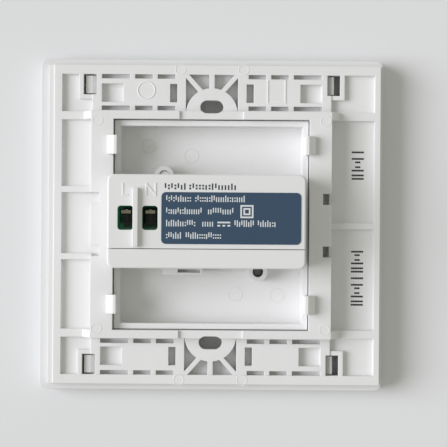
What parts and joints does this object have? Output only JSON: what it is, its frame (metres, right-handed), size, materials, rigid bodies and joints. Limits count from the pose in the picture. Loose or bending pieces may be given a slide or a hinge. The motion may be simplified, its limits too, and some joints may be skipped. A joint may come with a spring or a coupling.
{
  "type": "usb wall socket",
  "caption": "Square wall plate with a built-in USB charger, lying on its front: ribbed mounting grid, snap-in centre panel and a charger module with clamp terminals for mains wires.",
  "frame": {"origin": "centre of the front face, which lies on the table", "axes": "+X across the plate, +Y towards its top edge, +Z out of its back, towards the wall"},
  "size_m": [0.088, 0.085, 0.0223],
  "materials": {
    "cover_white": "moulded, satin",
    "grid_white": "moulded, fine matt",
    "panel_white": "moulded, satin",
    "case_white": "moulded, fine matt",
    "label_film": "printed film",
    "block_green": "moulded",
    "tinned_bar": "tinned",
    "board_laminate": "lacquered glass laminate",
    "resistor_body": "lacquered",
    "ferrite": "sintered, matt",
    "capacitor_can": "shrunk sleeve",
    "disc_ceramic": "dipped",
    "bobbin_plastic": "moulded",
    "winding_wire": "enamelled wire under tape",
    "package_resin": "moulded",
    "shell_steel": "nickel plated",
    "tongue_plastic": "moulded",
    "contact_gilt": "flash plated",
    "screw_steel": "zinc plated",
    "cage_brass": "nickel plated",
    "screw_black": "blackened"
  },
  "bodies": {
    "plate": {"cover_frame": "cover_white", "mounting_grid": "grid_white", "centre_panel": "panel_white", "module_case": "case_white", "module_base": "case_white", "rating_label": "label_film", "module_screw": "screw_black", "terminal_block": "block_green", "contact_bar_live": "tinned_bar", "contact_bar_neutral": "tinned_bar", "circuit_board": "board_laminate", "fuse_resistor": "resistor_body", "input_choke": "ferrite", "bulk_capacitors": "capacitor_can", "output_capacitor": "capacitor_can", "y_capacitor": "disc_ceramic", "transformer_core": "ferrite", "transformer_bobbin": "bobbin_plastic", "transformer_winding": "winding_wire", "bridge_rectifier": "package_resin", "switch_chip": "package_resin", "optocoupler": "package_resin", "output_diode": "package_resin", "usb_shell": "shell_steel", "usb_tongue": "tongue_plastic", "usb_contacts": "contact_gilt"},
    "screw_live": {"clamp_screw_live": "screw_steel"},
    "cage_live": {"clamp_cage_live": "cage_brass"},
    "screw_neutral": {"clamp_screw_neutral": "screw_steel"},
    "cage_neutral": {"clamp_cage_neutral": "cage_brass"}
  },
  "joints": [
    {"name": "screw_turn_live", "type": "hinge", "parent": "plate", "child": "screw_live", "pos_m": [-0.02125, 0.008, 0.0166], "axis": [0, -1, 0], "range_deg": [0, 1800]},
    {"name": "cage_rise_live", "type": "slide", "parent": "plate", "child": "cage_live", "axis": [0, 1, 0], "range_m": [0, 0.002]},
    {"name": "screw_turn_neutral", "type": "hinge", "parent": "plate", "child": "screw_neutral", "pos_m": [-0.01515, 0.008, 0.0166], "axis": [0, -1, 0], "range_deg": [0, 1800]},
    {"name": "cage_rise_neutral", "type": "slide", "parent": "plate", "child": "cage_neutral", "axis": [0, 1, 0], "range_m": [0, 0.002]}
  ],
  "couplings": [
    {"joint": "screw_turn_live", "follows": "cage_rise_live", "rad_per_m": 15708},
    {"joint": "screw_turn_neutral", "follows": "cage_rise_neutral", "rad_per_m": 15708}
  ]
}
